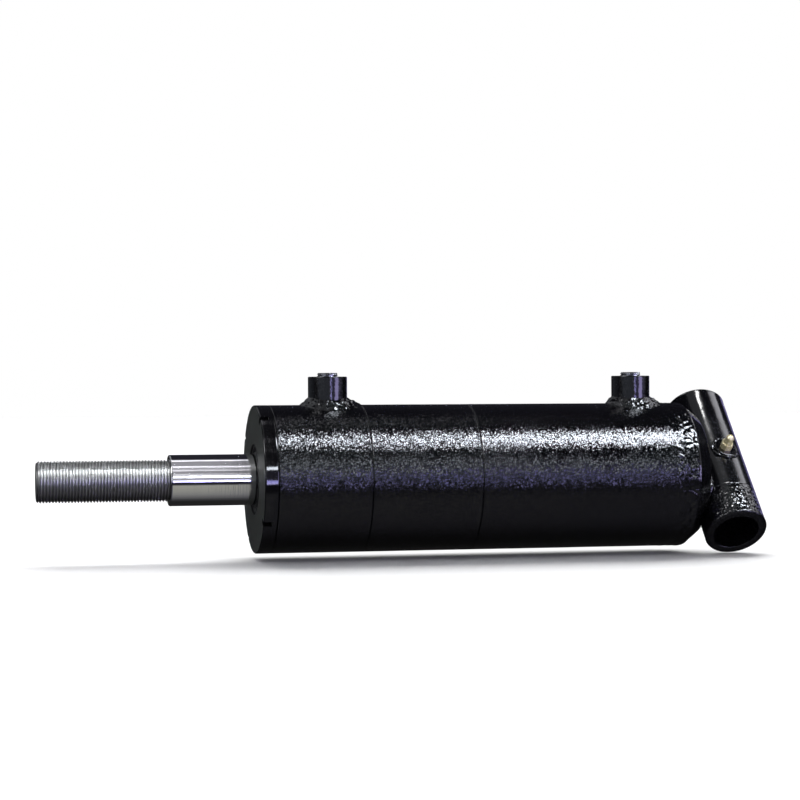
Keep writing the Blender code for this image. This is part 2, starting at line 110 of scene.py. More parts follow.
BORE_R = 0.04445
TUBE_END_X = PIN_X - 0.0400
BEAD_START_X = PIN_X - 0.0478
BEAD_END_X = PIN_X - 0.0290
CAP_EDGE_X = PIN_X - 0.0293
PIN_BORE_R = 0.015875
GRAIN_START = 0.0330            # where the cross tube's rough lower end starts, from the tube's middle
PAD_R = 0.0080
PAD_RISE = 0.0012
GREASE_SEAT = PIN_TUBE_CENTRE + (PIN_TUBE_R + PAD_RISE) * GREASE_DIRECTION
RECESS_R = 0.0240
RECESS_DEPTH = 0.0060
SLOT_WIDTH = 0.0036
SLOT_LENGTH = 0.0062
SLOT_DEPTH = 0.0050
SLOT_PHASE = math.radians(56)
GAP = 0.0003
ROD_THREAD_R = 0.0142875
ROD_THREAD_PITCH = 0.0254 / 12
ROD_TAIL_X = PIN_X - 0.119 - GAP   # where the rod steps down for the piston
ROD_TAIL_R = 0.0127
PLUG_THREAD_PITCH = 0.0254 / 18
PLUG_DEPTH = 0.0080
PLUG_SOCKET_R = 0.00635 / math.sqrt(3)
SEAMS = (0.0736, 0.1497)        # fine rings round the barrel, measured from the gland's face

# ---------------------------------------------------------------- mesh tools


def smoothstep(value, start, end):
    share = min(max((value - start) / (end - start), 0), 1)
    return share * share * (3 - 2 * share)


def rounded(outline):
    """Replace each corner that has a third value, the size of its rounding, by a curve.

    A point just beyond each end of the curve keeps the shading of the long sides straight.
    """
    steps = 4
    points = []
    for index, corner in enumerate(outline):
        here = Vector(corner[:2])
        if len(corner) < 3:
            points.append(here)
            continue
        size = corner[2]
        before = Vector(outline[index - 1][:2]) - here
        after = Vector(outline[(index + 1) % len(outline)][:2]) - here
        if before.length > 4 * size:
            points.append(here + 1.2 * size * before.normalized())
        for step in range(steps + 1):
            share = step / steps
            curve = (1 - share) ** 2 * before.normalized() + share ** 2 * after.normalized()
            points.append(here + size * curve)
        if after.length > 4 * size:
            points.append(here + 1.2 * size * after.normalized())
    return points


def spaced(points, spacing, inner):
    """Split the sides of an outline so that none is longer than the spacing.

    Sides no further from the axis than the inner radius stay whole.
    """
    result = []
    for start, end in zip(points, points[1:] + points[:1]):
        whole = max(start.y, end.y) <= inner
        parts = 1 if whole else max(1, math.ceil((end - start).length / spacing))
        result += [start.lerp(end, part / parts) for part in range(parts)]
    return result


def finish_piece(name, builder, material):
    """Turn a bmesh into a smooth object and clean up its normals."""
    bmesh.ops.remove_doubles(builder, verts=builder.verts, dist=1e-6)
    bmesh.ops.recalc_face_normals(builder, faces=builder.faces)
    mesh = bpy.data.meshes.new(name)
    builder.to_mesh(mesh)
    builder.free()
    mesh.shade_smooth()
    mesh.set_sharp_from_angle(angle=math.radians(42))
    if material is not None:
        mesh.materials.append(material)
    piece = bpy.data.objects.new(name, mesh)
    bpy.context.collection.objects.link(piece)
    return piece


def skin(builder, sections, closed, left_out=()):
    """Join rows of points into quads; each row is a closed loop, and the rows may close too.

    left_out lists the sides of a row that get no quads, by the number of their first point.
    """
    rows = [[builder.verts.new(point) for point in section] for section in sections]
    following = rows[1:] + rows[:1] if closed else rows[1:]
    for row, after in zip(rows, following):
        for index in range(len(row)):
            second = (index + 1) % len(row)
            if index not in left_out:
                builder.faces.new((row[index], row[second], after[second], after[index]))
    return rows


def turned(name, outline, material, steps=96, spacing=1.0, lift=None, inner=0.0):
    """Turn an outline of (along X, radius) about X.

    lift(along, angle, radius) says how far a point moves outwards. spacing and inner are those of
    spaced().
    """
    points = spaced(outline, spacing, inner)
    builder = bmesh.new()
    sections = []
    for step in range(steps):
        angle = math.tau * step / steps
        section = []
        for along, radius in points:
            reach = radius
            if lift is not None and radius > 0:
                reach += lift(along, angle, radius)
            section.append((along, reach * math.cos(angle), reach * math.sin(angle)))
        sections.append(section)
    ends = zip(points, points[1:] + points[:1])
    on_axis = [index for index, (start, end) in enumerate(ends) if start.y == 0 and end.y == 0]
    skin(builder, sections, True, on_axis)
    bmesh.ops.remove_doubles(builder, verts=builder.verts, dist=1e-6)
    bmesh.ops.dissolve_degenerate(builder, dist=1e-7, edges=builder.edges)
    return finish_piece(name, builder, material)


def aim(piece, direction, location):
    """Turn the mesh so that its X axis points along a direction, and put its origin at a location."""
    piece.data.transform(direction.to_track_quat("X", "Z").to_matrix().to_4x4())
    piece.location = location


def cut(piece, tool):
    """Let a tool cut its shape out of a piece. bake() then makes the cut final."""
    tool.hide_render = True
    tool.display_type = "WIRE"
    modifier = piece.modifiers.new(tool.name, "BOOLEAN")
    modifier.operation = "DIFFERENCE"
    modifier.object = tool


def bake(piece, tools):
    """Keep the cut shape as the piece's own mesh and remove the tools."""
    bpy.context.view_layer.update()
    graph = bpy.context.evaluated_depsgraph_get()
    mesh = bpy.data.meshes.new_from_object(piece.evaluated_get(graph))
    builder = bmesh.new()
    builder.from_mesh(mesh)
    bmesh.ops.dissolve_degenerate(builder, dist=1e-7, edges=builder.edges)
    builder.to_mesh(mesh)
    builder.free()
    mesh.name = piece.name
    piece.modifiers.clear()
    piece.data = mesh
    mesh.shade_smooth()
    mesh.set_sharp_from_angle(angle=math.radians(35))
    for tool in tools:
        bpy.data.objects.remove(tool, do_unlink=True)


def swirl(point, size, seed=0.0):
    """Smooth noise between about -1 and 1 whose features are about one size across."""
    return noise.noise(Vector(point) / size + Vector((seed, 7.3 * seed, -3.1 * seed)))


def cells(point, size, crack, seed=0.0):
    """Rounded lumps about one size across: 1 on a lump, 0 in the narrow cracks between lumps."""
    distances = noise.voronoi(Vector(point) / size + Vector((seed, 2.7 * seed, 5.9 * seed)))[0]
    return smoothstep(distances[1] - distances[0], 0, crack)


def on_body(piece, slot, body, *nodes):
    """Let the piece ride on a body and stand for its CAD nodes, which are hidden. The slot is not used."""
    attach(piece, body)
    if nodes:
        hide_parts(*nodes)


# ---------------------------------------------------------------- shader tools


class Shader:
    """Adds nodes to one node tree and wires them together."""

    def __init__(self, tree):
        self.tree = tree
        tree.nodes.clear()

    def feed(self, socket, value):
        if isinstance(value, bpy.types.NodeSocket):
            self.tree.links.new(value, socket)
        else:
            socket.default_value = value

    def add(self, kind, inputs=None, **settings):
        node = self.tree.nodes.new(kind)
        for name, value in settings.items():
            setattr(node, name, value)
        for name, value in (inputs or {}).items():
            self.feed(node.inputs[name], value)
        return node

    def math(self, operation, first, second=0.0):
        return self.add("ShaderNodeMath", {0: first, 1: second}, operation=operation).outputs[0]

    def vector(self, operation, first, second, output="Vector"):
        node = self.add("ShaderNodeVectorMath", {0: first, 1: second}, operation=operation)
        return node.outputs[output]

    def smooth(self, value, start, end, low=0.0, high=1.0):
        """Ease from low to high while the value goes from start to end."""
        settings = {"Value": value, "From Min": start, "From Max": end, "To Min": low, "To Max": high}
        return self.add("ShaderNodeMapRange", settings, interpolation_type="SMOOTHSTEP").outputs[0]

    def band(self, value, start, end, soft):
        """1 between start and end, easing to 0 over the softness outside them."""
        rise = self.smooth(value, start - soft, start)
        fall = self.smooth(value, end, end + soft, 1.0, 0.0)
        return self.math("MULTIPLY", rise, fall)

    def mix(self, share, first, second):
        node = self.add("ShaderNodeMix", {0: share, 6: first, 7: second}, data_type="RGBA")
        return node.outputs[2]

    def sum(self, first, second):
        node = self.add("ShaderNodeMix", {0: 1.0, 6: first, 7: second}, data_type="RGBA", blend_type="ADD")
        return node.outputs[2]

    def scaled(self, colour, factor):
        """Multiply a colour or a direction by a single value."""
        node = self.add("ShaderNodeVectorMath", {0: colour, "Scale": factor}, operation="SCALE")
        return node.outputs[0]

    def radius(self, place):
        """Distance from the X axis."""
        across = self.vector("MULTIPLY", place, (0, 1, 1))
        return self.add("ShaderNodeVectorMath", {0: across}, operation="LENGTH").outputs["Value"]

    def coordinates(self, stretch=(1, 1, 1)):
        source = self.add("ShaderNodeTexCoord").outputs["Object"]
        return self.add("ShaderNodeMapping", {"Vector": source, "Scale": stretch}).outputs[0]

    def noise(self, vector, size, detail=2.0, roughness=0.5):
        """Noise whose features are about one size across, in metres."""
        settings = {"Vector": vector, "Scale": 1 / size, "Detail": detail, "Roughness": roughness}
        return self.add("ShaderNodeTexNoise", settings).outputs["Fac"]

    def bump(self, height, distance, normal=None):
        settings = {"Height": height, "Distance": distance}
        if normal is not None:
            settings["Normal"] = normal
        return self.add("ShaderNodeBump", settings).outputs[0]

    def surface(self, colour, roughness, metallic=0.0, normal=None):
        settings = {"Base Color": colour, "Roughness": roughness, "Metallic": metallic}
        if normal is not None:
            settings["Normal"] = normal
        shader = self.add("ShaderNodeBsdfPrincipled", settings)
        output = self.add("ShaderNodeOutputMaterial")
        self.tree.links.new(shader.outputs[0], output.inputs["Surface"])


def new_shader(name):
    material = bpy.data.materials.new(name)
    material.use_nodes = True
    return material, Shader(material.node_tree)


# ---------------------------------------------------------------- finishes


def black_paint(name, grain, tilt, on_cross_tube=False):
    """Gloss black enamel over rough steel. grain is the size of its specks and tilt how far they lean.

    On the cross tube the grain is kept to the lower end, and the middle is a little less glossy.
    """
    material, build = new_shader(name)
    place = build.coordinates()
    drift = build.noise(place, 0.009, 1.0)
    film = build.noise(place, 0.035, 3.0)
    if on_cross_tube:
        along = build.vector("DOT_PRODUCT", place, PIN_DIRECTION, "Value")
        lean = build.smooth(along, GRAIN_START, GRAIN_START + 0.005, 0.05 * tilt, tilt)
        waist = build.band(along, -0.026, 0.030, 0.008)
        roughness = build.smooth(waist, 0.0, 1.0, 0.12, 0.17)
    else:
        lean = tilt
        roughness = build.smooth(film, 0.3, 0.7, 0.10, 0.16)
    specks = build.add("ShaderNodeTexVoronoi", {"Vector": place, "Scale": 1 / grain}).outputs["Color"]
    leaning = build.scaled(build.vector("SUBTRACT", specks, (0.5, 0.5, 0.5)), lean)
    bent = build.vector("ADD", build.bump(drift, 0.00006), leaning)
    normal = build.add("ShaderNodeVectorMath", {0: bent}, operation="NORMALIZE").outputs[0]
    colour = build.mix(film, (0.0015, 0.0015, 0.0022, 1), (0.0042, 0.0042, 0.0056, 1))
    build.surface(colour, roughness, normal=normal)
    return material


def gland_paint():
    """Satin olive on the flange's front, black gloss on its rim."""
    material, build = new_shader("gland_paint")
    place = build.coordinates()
    facing = build.add("ShaderNodeNewGeometry").outputs["True Normal"]
    facing_x = build.add("ShaderNodeSeparateXYZ", {0: facing}).outputs[0]
    front = build.smooth(build.math("MULTIPLY", facing_x, -1.0), 0.90, 0.98)
    inside = build.smooth(build.radius(place), RECESS_R + 0.0006, RECESS_R + 0.0001)
    front = build.math("MULTIPLY", front, build.math("SUBTRACT", 1.0, inside))
    film = build.noise(place, 0.012, 4.0, 0.6)
    grain = build.noise(place, 0.0009, 2.0)
    olive = build.mix(film, (0.020, 0.0225, 0.019, 1), (0.038, 0.043, 0.037, 1))
    colour = build.mix(front, (0.004, 0.004, 0.005, 1), olive)
    satin = build.smooth(front, 0.0, 1.0, 0.05, 0.50)
    roughness = build.math("MAXIMUM", satin, build.math("MULTIPLY", inside, 0.6))
    normal = build.bump(film, 0.00004)
    normal = build.bump(grain, 0.000008, normal)
    build.surface(colour, roughness, normal=normal)
    return material


def chrome():
    """Ground and polished plating: fine lengthways unevenness and faint turning marks."""
    material, build = new_shader("hard_chrome")
    streaks = build.noise(build.coordinates((0.05, 1, 1)), 0.0028, 3.0, 0.6)
    marks = build.noise(build.coordinates((1, 0.02, 0.02)), 0.0006, 2.0)
    film = build.noise(build.coordinates((0.3, 1, 1)), 0.012, 3.0)
    normal = build.bump(streaks, 0.00004)
    normal = build.bump(marks, 0.00001, normal)
    colour = build.mix(film, (0.66, 0.66, 0.665, 1), (0.76, 0.755, 0.74, 1))
    roughness = build.smooth(film, 0.3, 0.7, 0.05, 0.09)
    build.surface(colour, roughness, 1.0, normal)
    return material


def thread_steel(name, crest_radius, depth):
    """Bright thread crests over darker roots; the darker roots are painted shade in the thread's grooves."""
    material, build = new_shader(name)
    place = build.coordinates()
    height = build.smooth(build.radius(place), crest_radius - depth, crest_radius - 0.15 * depth)
    film = build.noise(place, 0.004, 3.0)
    nicks = build.noise(place, 0.0007, 2.0)
    # the darker colour towards the roots is painted shade in the thread's grooves, the lighter one is the crests'
    # steel
    shaded_roots = build.mix(film, (0.26, 0.255, 0.24, 1), (0.36, 0.355, 0.34, 1))
    crest_tone = build.mix(film, (0.58, 0.58, 0.57, 1), (0.70, 0.695, 0.68, 1))
    colour = build.mix(height, shaded_roots, crest_tone)
    roughness = build.smooth(height, 0.0, 1.0, 0.42, 0.28)
    normal = build.bump(nicks, 0.00001)
    build.surface(colour, roughness, 1.0, normal)
    return material


def metal(name, dark, light, roughness, metallic=1.0):
    """Plain machined or plated metal with patchy colour and fine marks."""
    material, build = new_shader(name)
    place = build.coordinates()
    film = build.noise(place, 0.004, 4.0, 0.6)
    grain = build.noise(place, 0.0006, 3.0)
    colour = build.mix(film, (*dark, 1), (*light, 1))
    finish = build.smooth(film, 0.25, 0.75, roughness - 0.07, roughness + 0.09)
    build.surface(colour, finish, metallic, build.bump(grain, 0.00003))
    return material


def soft(name, dark, light, roughness):
    """Rubber or plastic with a dusty, uneven surface."""
    material, build = new_shader(name)
    place = build.coordinates()
    film = build.noise(place, 0.006, 4.0, 0.6)
    grain = build.noise(place, 0.0005, 2.0)
    colour = build.mix(film, (*dark, 1), (*light, 1))
    finish = build.smooth(film, 0.25, 0.75, roughness - 0.08, roughness + 0.08)
    build.surface(colour, finish, 0.0, build.bump(grain, 0.00004))
    return material


def plug_finish():
    """Steel plug half covered by overspray of the black paint."""
    material, build = new_shader("port_plug")
    place = build.coordinates()
    film = build.noise(place, 0.0035, 4.0, 0.65)
    grain = build.noise(place, 0.0008, 2.0)
    bare = build.smooth(film, 0.42, 0.58)
    colour = build.mix(bare, (0.060, 0.061, 0.068, 1), (0.56, 0.57, 0.62, 1))
    metallic = build.smooth(bare, 0.0, 1.0, 0.0, 0.9)
    roughness = build.smooth(bare, 0.0, 1.0, 0.22, 0.38)
    normal = build.bump(film, 0.0002)
    normal = build.bump(grain, 0.00006, normal)
    build.surface(colour, roughness, metallic, normal)
    return material


PAINT = black_paint("barrel_paint", 0.00054, 0.22)
WELD_PAINT = black_paint("weld_paint", 0.0009, 0.12)
PORT_WELD_PAINT = black_paint("port_weld_paint", 0.0009, 0.26)
SMOOTH_PAINT = black_paint("boss_paint", 0.0010, 0.05)
PIN_TUBE_PAINT = black_paint("pin_tube_paint", 0.0008, 0.37, True)
GLAND_PAINT = gland_paint()
CHROME = chrome()
ROD_THREAD = thread_steel("rod_thread", ROD_THREAD_R, 0.0013)
PLUG = plug_finish()
ZINC = metal("yellow_zinc", (0.80, 0.68, 0.38), (0.97, 0.90, 0.62), 0.30, 0.55)
STEEL = metal("machined_steel", (0.38, 0.38, 0.37), (0.52, 0.52, 0.50), 0.32)
IRON = metal("ductile_iron", (0.14, 0.14, 0.14), (0.24, 0.235, 0.23), 0.45)
RUBBER = soft("black_rubber", (0.010, 0.010, 0.010), (0.020, 0.020, 0.021), 0.55)
URETHANE = soft("urethane", (0.015, 0.08, 0.24), (0.03, 0.13, 0.33), 0.42)
NYLON = soft("filled_nylon", (0.20, 0.13, 0.05), (0.30, 0.21, 0.09), 0.5)

# ---------------------------------------------------------------- barrel


def barrel_lift(along, angle, radius):
    """Slight unevenness of the painted tube, and the fine rings as grooves between raised lips."""
    if radius < BORE_R + 0.001:
        return 0
    place = (along, BARREL_R * math.cos(angle), BARREL_R * math.sin(angle))
    lift = 0.00005 * swirl(place, 0.022) + 0.00002 * swirl(place, 0.006, 3)
    for seam in SEAMS:
        distance = abs(along - FACE_X - seam)
        if distance < 0.0016:
            ragged = 0.7 + 0.8 * swirl(place, 0.004, 5)
            lift += 0.00005 * ragged * math.exp(-((distance - 0.0008) / 0.0003) ** 2)
            lift -= 0.00055 * math.exp(-(distance / 0.00028) ** 2)
    return lift


def make_barrel():
    outline = [(FLANGE_END_X, BORE_R), (FLANGE_END_X, BARREL_R, 0.0006)]
    for seam in SEAMS:
        for step in range(-6, 7):
            outline.append((FACE_X + seam + 0.00022 * step, BARREL_R))
    outline += [(TUBE_END_X, BARREL_R), (TUBE_END_X, BORE_R)]
    shell = turned("barrel_shell", rounded(outline), PAINT, 320, 0.0013, barrel_lift, BORE_R)
    on_body(shell, "barrel_paint", "barrel", "barrel_tube")


def weld_lift(along, angle, radius):
    """Rounded lumps with narrow cracks, fading out at both edges of the bead."""
    if radius < BARREL_R - 0.0001:
        return 0
    place = (along, BARREL_R * math.cos(angle), BARREL_R * math.sin(angle))
    edge = smoothstep(along, BEAD_START_X + 0.0008, BEAD_START_X + 0.0038)
    edge *= 1 - smoothstep(along, BEAD_END_X - 0.0025, BEAD_END_X - 0.0005)
    lump = cells(place, 0.0072, 0.22, 1.7)
    sway = swirl(place, 0.0045, 9)
    return edge * (0.00042 * lump + 0.00030 * sway - 0.00030)


def make_groove_weld():
    outline = [
        (BEAD_START_X, BARREL_R - 0.0030),
        (BEAD_START_X + 0.0006, BARREL_R - 0.0002),
        (BEAD_START_X + 0.0016, BARREL_R),
        (BEAD_END_X - 0.0012, BARREL_R),
        (BEAD_END_X - 0.0002, BARREL_R - 0.0003),
        (BEAD_END_X, BARREL_R - 0.0030),
    ]
    bead = turned("groove_weld_bead", rounded(outline), WELD_PAINT, 420, 0.0007, weld_lift)
    on_body(bead, "barrel_paint", "barrel", "barrel_weld")


def make_base_cap():
    outline = [
        (CAP_INNER_X, 0),
        (CAP_INNER_X, BORE_R - 0.0004, 0.001),
        (PIN_X - 0.0420, BORE_R - 0.0004),
        (TUBE_END_X, BARREL_R - 0.0012),
        (CAP_EDGE_X, BARREL_R - 0.0004, 0.0006),
        (CAP_END_X, BARREL_R - 0.0083, 0.0010),
        (CAP_END_X, 0),
    ]

    def cap_lift(along, angle, radius):
        return 0.00012 * swirl((along, radius * math.cos(angle), radius * math.sin(angle)), 0.009, 2)

    cap = turned("base_cap_body", rounded(outline), SMOOTH_PAINT, 192, 0.002, cap_lift)
    reach = 0.1
    bar = [(-reach, 0), (-reach, PIN_TUBE_R), (reach, PIN_TUBE_R), (reach, 0)]
    saddle = turned("saddle_tool", rounded(bar), None, 128)
    aim(saddle, PIN_DIRECTION, (PIN_X, 0, 0))
    cut(cap, saddle)
    bake(cap, [saddle])
    on_body(cap, "barrel_paint", "barrel", "base_cap")


# ---------------------------------------------------------------- cross tube for the pin


def make_pin_tube():
    half = (LOWER_END - UPPER_END) / 2
    outline = [(-half, PIN_BORE_R, 0.0008), (-half, PIN_TUBE_R, 0.0022)]
    outline += [(GRAIN_START + 0.0003 * step, PIN_TUBE_R) for step in range(-4, 5)]
    outline += [(half, PIN_TUBE_R, 0.0022), (half, PIN_BORE_R, 0.0008)]

    def tube_lift(along, angle, radius):
        if radius < PIN_TUBE_R - 0.0001:
            return 0
        place = (along, radius * math.cos(angle), radius * math.sin(angle))
        ragged = max(0, 0.7 + 1.2 * swirl(place, 0.003, 5))
        rib = 0.00014 * ragged * math.exp(-((along - GRAIN_START) / 0.0005) ** 2)
        return 0.00008 * swirl(place, 0.011, 4) - 0.00030 + rib

    tube = turned("pin_tube_body", rounded(outline), PIN_TUBE_PAINT, 192, 0.0014, tube_lift)
    aim(tube, PIN_DIRECTION, PIN_TUBE_CENTRE)
    on_body(tube, "barrel_paint", "barrel", "pin_tube")


def make_saddle_bead(name, node, side):
    """Lumpy fillet between the cap's end and one side of the pin tube."""
    land = CAP_END_X - PIN_X
    start_angle = math.acos(-land / PIN_TUBE_R)
    meeting = PIN_TUBE_R * math.sin(start_angle)
    corner = Vector((land - 0.0015, meeting - 0.0015))
    outward = Vector((1, 1)).normalized()
    half = 0.0350
    count = 150
    points = 14
    builder = bmesh.new()
    sections = []
    for step in range(count + 1):
        share = step / count
        along = half * (2 * share - 1)
        taper = math.sqrt(max(0.02, 1 - (2 * share - 1) ** 8))
        place = Vector((along, side * 0.02, 0))
        reach = taper * (0.0080 + 0.0016 * swirl(place, 0.008, 2 + side))
        ripple = abs(math.sin(along / 0.0021 + 2 * swirl(place, 0.01, 6)))
        bulge = taper * (0.0012 + 0.0007 * ripple)
        wall = Vector((land, meeting + reach))
        turn = start_angle + taper * (0.38 + 0.07 * swirl(place, 0.007, 11 + side))
        on_tube = PIN_TUBE_R * Vector((-math.cos(turn), math.sin(turn)))
        section = [corner, Vector((land - 0.0010, wall.y - 0.0004))]
        for index in range(points + 1):
            across = index / points
            section.append(wall.lerp(on_tube, across) + 4 * across * (1 - across) * bulge * outward)
        section.append(on_tube * (1 - 0.0010 / PIN_TUBE_R))
        sections.append([
            Vector((PIN_X + x, 0, 0)) + side * distance * PIN_SIDE + along * PIN_DIRECTION
            for x, distance in section
        ])
    rows = skin(builder, sections, False)
    builder.faces.new(reversed(rows[0]))
    builder.faces.new(rows[-1])
    bead = finish_piece(name, builder, WELD_PAINT)
    on_body(bead, "barrel_paint", "barrel", node)


def make_grease_pad():
    """Raised pad under the grease fitting."""
    foot = PIN_TUBE_R - 0.003
    top = PIN_TUBE_R + PAD_RISE
    outline = [(foot, 0), (foot, PAD_R), (top, PAD_R, 0.0007), (top, 0)]
    pad = turned("grease_pad", rounded(outline), SMOOTH_PAINT, 96, 0.0012)
    aim(pad, GREASE_DIRECTION, PIN_TUBE_CENTRE)
    on_body(pad, "barrel_paint", "barrel")


def make_grease_pad_bead():
    """Small uneven weld round the pad's foot."""
    across = GREASE_DIRECTION.cross(PIN_DIRECTION)
    steps = 120
    sides = 12
    sections = []
    for step in range(steps):
        angle = math.tau * step / steps
        outward = math.cos(angle) * PIN_DIRECTION + math.sin(angle) * across
        thick = 0.0013 + 0.0011 * swirl(outward, 0.30, 2)
        radius = PAD_R + 0.0007 + 0.0007 * swirl(outward, 0.35, 8)
        height = math.sqrt(PIN_TUBE_R ** 2 - (radius * math.sin(angle)) ** 2)
        centre = PIN_TUBE_CENTRE + radius * outward + (height + 0.0001) * GREASE_DIRECTION
        section = []
        for side in range(sides):
            turn = math.tau * side / sides
            spoke = math.cos(turn) * outward + 0.75 * math.sin(turn) * GREASE_DIRECTION
            section.append(centre + thick * spoke)
        sections.append(section)
    builder = bmesh.new()
    skin(builder, sections, True)
    bead = finish_piece("grease_pad_bead", builder, PORT_WELD_PAINT)
    on_body(bead, "barrel_paint", "barrel")


def make_grease_fitting():
    """Hexagon, stem and tip with its bulb, drilled for the ball."""
    hex_r = 0.0079 / math.sqrt(3)
    hex_top = 0.0046
    stem_r = 0.0034
    outline = [
        (-0.0020, 0),
        (-0.0020, hex_r),
        (hex_top - 0.0006, hex_r),
        (hex_top, hex_r - 0.0006),
        (hex_top, stem_r),
        (0.0050, stem_r, 0.0003),
        (0.0068, 0.0027, 0.0006),
        (0.0078, 0.0026, 0.0004),
        (0.0088, 0.0030, 0.0005),
        (0.0097, 0.0028, 0.0005),
        (0.0112, 0.0014, 0.0002),
        (0.0112, 0.0008),
        (0.0104, 0.0006),
        (0.0104, 0),
    ]

    def hexagon_lift(along, angle, radius):
        """Pull the round foot in to six flats whose corners keep their radius."""
        if along > hex_top + 0.00001 or radius < stem_r + 0.00001:
            return 0
        sixth = math.tau / 6
        return radius * (math.cos(sixth / 2) / math.cos(angle % sixth - sixth / 2) - 1)

    body = turned("grease_nipple", rounded(outline), ZINC, 96, 0.0006, hexagon_lift)
    aim(body, GREASE_DIRECTION, GREASE_SEAT)
    on_body(body, "yellow_zinc", "barrel", "grease_fitting")


# ---------------------------------------------------------------- ports


def make_port_boss(end):
    outline = [
        (BARREL_R - 0.0040, PLUG_R - 0.0015),
        (BARREL_R - 0.0040, BOSS_R),
        (BOSS_TOP, BOSS_R, 0.0007),
        (BOSS_TOP, PLUG_R + 0.0008, 0.0005),
        (BOSS_TOP - 0.0012, PLUG_R + GAP),
        (BOSS_TOP - PLUG_DEPTH, PLUG_R + GAP),
        (BOSS_TOP - PLUG_DEPTH, PLUG_R - 0.0015),
    ]
    boss = turned(end + "_port_body", rounded(outline), SMOOTH_PAINT, 128, 0.0020)
    aim(boss, Vector((0, 0, 1)), (PORT_X[end], 0, 0))
    on_body(boss, "barrel_paint", "barrel", end + "_port_boss")


def make_port_bead(end, left_spread, right_spread, seed):
    """Lumpy fillet round a boss. The spreads are its reach towards -X and +X."""
    steps = 180
    points = 16
    inner = BOSS_R - 0.0006
    sink = 0.0016

    def above_barrel(outward, out, height):
        """The point at a distance from the port's axis and a height over the barrel's surface."""
        y = out * outward.y
        return (PORT_X[end] + out * outward.x, y, math.sqrt(BARREL_R ** 2 - y * y) + height)

    sections = []
    for step in range(steps):
        angle = math.tau * step / steps
        outward = Vector((math.cos(angle), math.sin(angle), 0))
        spread = left_spread + (right_spread - left_spread) * (1 + math.cos(angle)) / 2
        spread *= 1 + 0.16 * swirl(outward, 0.45, seed)
        rise = 0.0062 * (1 + 0.14 * swirl(outward, 0.5, seed + 2))
        section = []
        for index in range(points + 1):
            share = index / points
            out = inner + (BOSS_R + spread - inner) * share
            slope = rise * (1 - share) ** 1.25
            place = (outward.x * out, outward.y * out, slope)
            inside = math.sin(math.pi * min(1, share * 1.04)) if share < 0.96 else 0
            lump = 0.0009 * swirl(place, 0.0030, seed + 5) + 0.0006 * cells(place, 0.0044, 0.4, seed)
            section.append(above_barrel(outward, out, slope + inside * lump - 0.0004))
        section.append(above_barrel(outward, BOSS_R + spread - 0.0008, -sink))
        section.append(above_barrel(outward, inner, -sink))
        sections.append(section)
    builder = bmesh.new()
    skin(builder, sections, True)
    bead = finish_piece(end + "_port_bead", builder, PORT_WELD_PAINT)
    on_body(bead, "barrel_paint", "barrel", end + "_port_weld")


def make_port_plug(end):
    """Threaded plug with a hexagon socket in its top."""
    foot = BOSS_TOP - PLUG_DEPTH + 0.0001
    helix = threaded(foot, PLUG_TOP, PLUG_R, PLUG_THREAD_PITCH, 0.0006, 96, 0.0005)
    plug = finish_piece(end + "_port_stopper", helix, PLUG)
    floor = PLUG_TOP - 0.0045
    above = PLUG_TOP + 0.002
    socket = [(floor, 0), (floor, PLUG_SOCKET_R), (above, PLUG_SOCKET_R), (above, 0)]
    tool = turned("socket_tool", rounded(socket), None, 6)
    cut(plug, tool)
    bake(plug, [tool])
    aim(plug, Vector((0, 0, 1)), (PORT_X[end], 0, 0))
    on_body(plug, "port_plug", "barrel", end + "_port_plug")


# ---------------------------------------------------------------- threads and rod


def threaded(start, end, crest, pitch, depth, steps, chamfer):
    """Closed bar along X from start to end with a thread and chamfered ends.

    Known fault: the thread winds left-handed, and the real ones are right-handed. The other sign for a
    vertex's z would correct it.
    """

    def thread_radius(phase):
        """Radius over one pitch: a flat crest, a flank down, a flat root and a flank up."""
        flat = 0.125
        flank = 0.375
        phase = phase % 1
        if phase < flat:
            return crest
        if phase < flat + flank:
            return crest - depth * (phase - flat) / flank
        if phase < flat + flank + flat:
            return crest - depth
        return crest - depth * (1 - phase) / flank

    per_turn = 10
    turns = math.ceil((end - start) / pitch) + 2
    drop = depth + 0.0001
    builder = bmesh.new()
    rows = []
    for row in range(-per_turn, turns * per_turn + 1):
        ring = []
        for step in range(steps + 1):
            angle = math.tau * step / steps
            along = min(max(start + pitch * (row / per_turn + step / steps), start), end)
            from_end = min(along - start, end - along)
            limit = crest - drop + from_end * drop / chamfer
            radius = min(thread_radius(row / per_turn), limit)
            ring.append(builder.verts.new((along, radius * math.cos(angle), -radius * math.sin(angle))))
        rows.append(ring)
    for row, after in zip(rows, rows[1:]):
        for step in range(steps):
            corners = [row[step], row[step + 1], after[step + 1], after[step]]
            xs = [corner.co.x for corner in corners]
            if max(xs) - min(xs) > 1e-7:
                builder.faces.new(corners)
    loose = [vert for vert in builder.verts if not vert.link_faces]
    bmesh.ops.delete(builder, geom=loose, context="VERTS")
    bmesh.ops.remove_doubles(builder, verts=builder.verts, dist=2e-6)
    bmesh.ops.dissolve_degenerate(builder, dist=1e-7, edges=builder.edges)
    for x in (start, end):
        rim = [edge for edge in builder.edges if edge.is_boundary and abs(edge.verts[0].co.x - x) < 1e-6]
        bmesh.ops.contextual_create(builder, geom=rim)
    return builder


def make_rod():
    bar_end = high("rod").x
    outline = [
        (SHOULDER_X, 0),
        (SHOULDER_X, ROD_R, 0.0011),
        (ROD_TAIL_X, ROD_R),
        (ROD_TAIL_X, ROD_TAIL_R),
        (bar_end, ROD_TAIL_R, 0.0015),
        (bar_end, 0),
    ]
    bar = turned("rod_bar", rounded(outline), CHROME, 160, 0.004)
    on_body(bar, "hard_chrome", "rod", "rod")
    depth = 0.6134 * ROD_THREAD_PITCH       # of a standard 60 degree thread
    helix = threaded(TIP_X, SHOULDER_X + 0.0020, ROD_THREAD_R, ROD_THREAD_PITCH, depth, 96, 0.0013)
    thread = finish_piece("rod_end_thread", helix, ROD_THREAD)
    on_body(thread, "machined_steel", "rod", "rod")


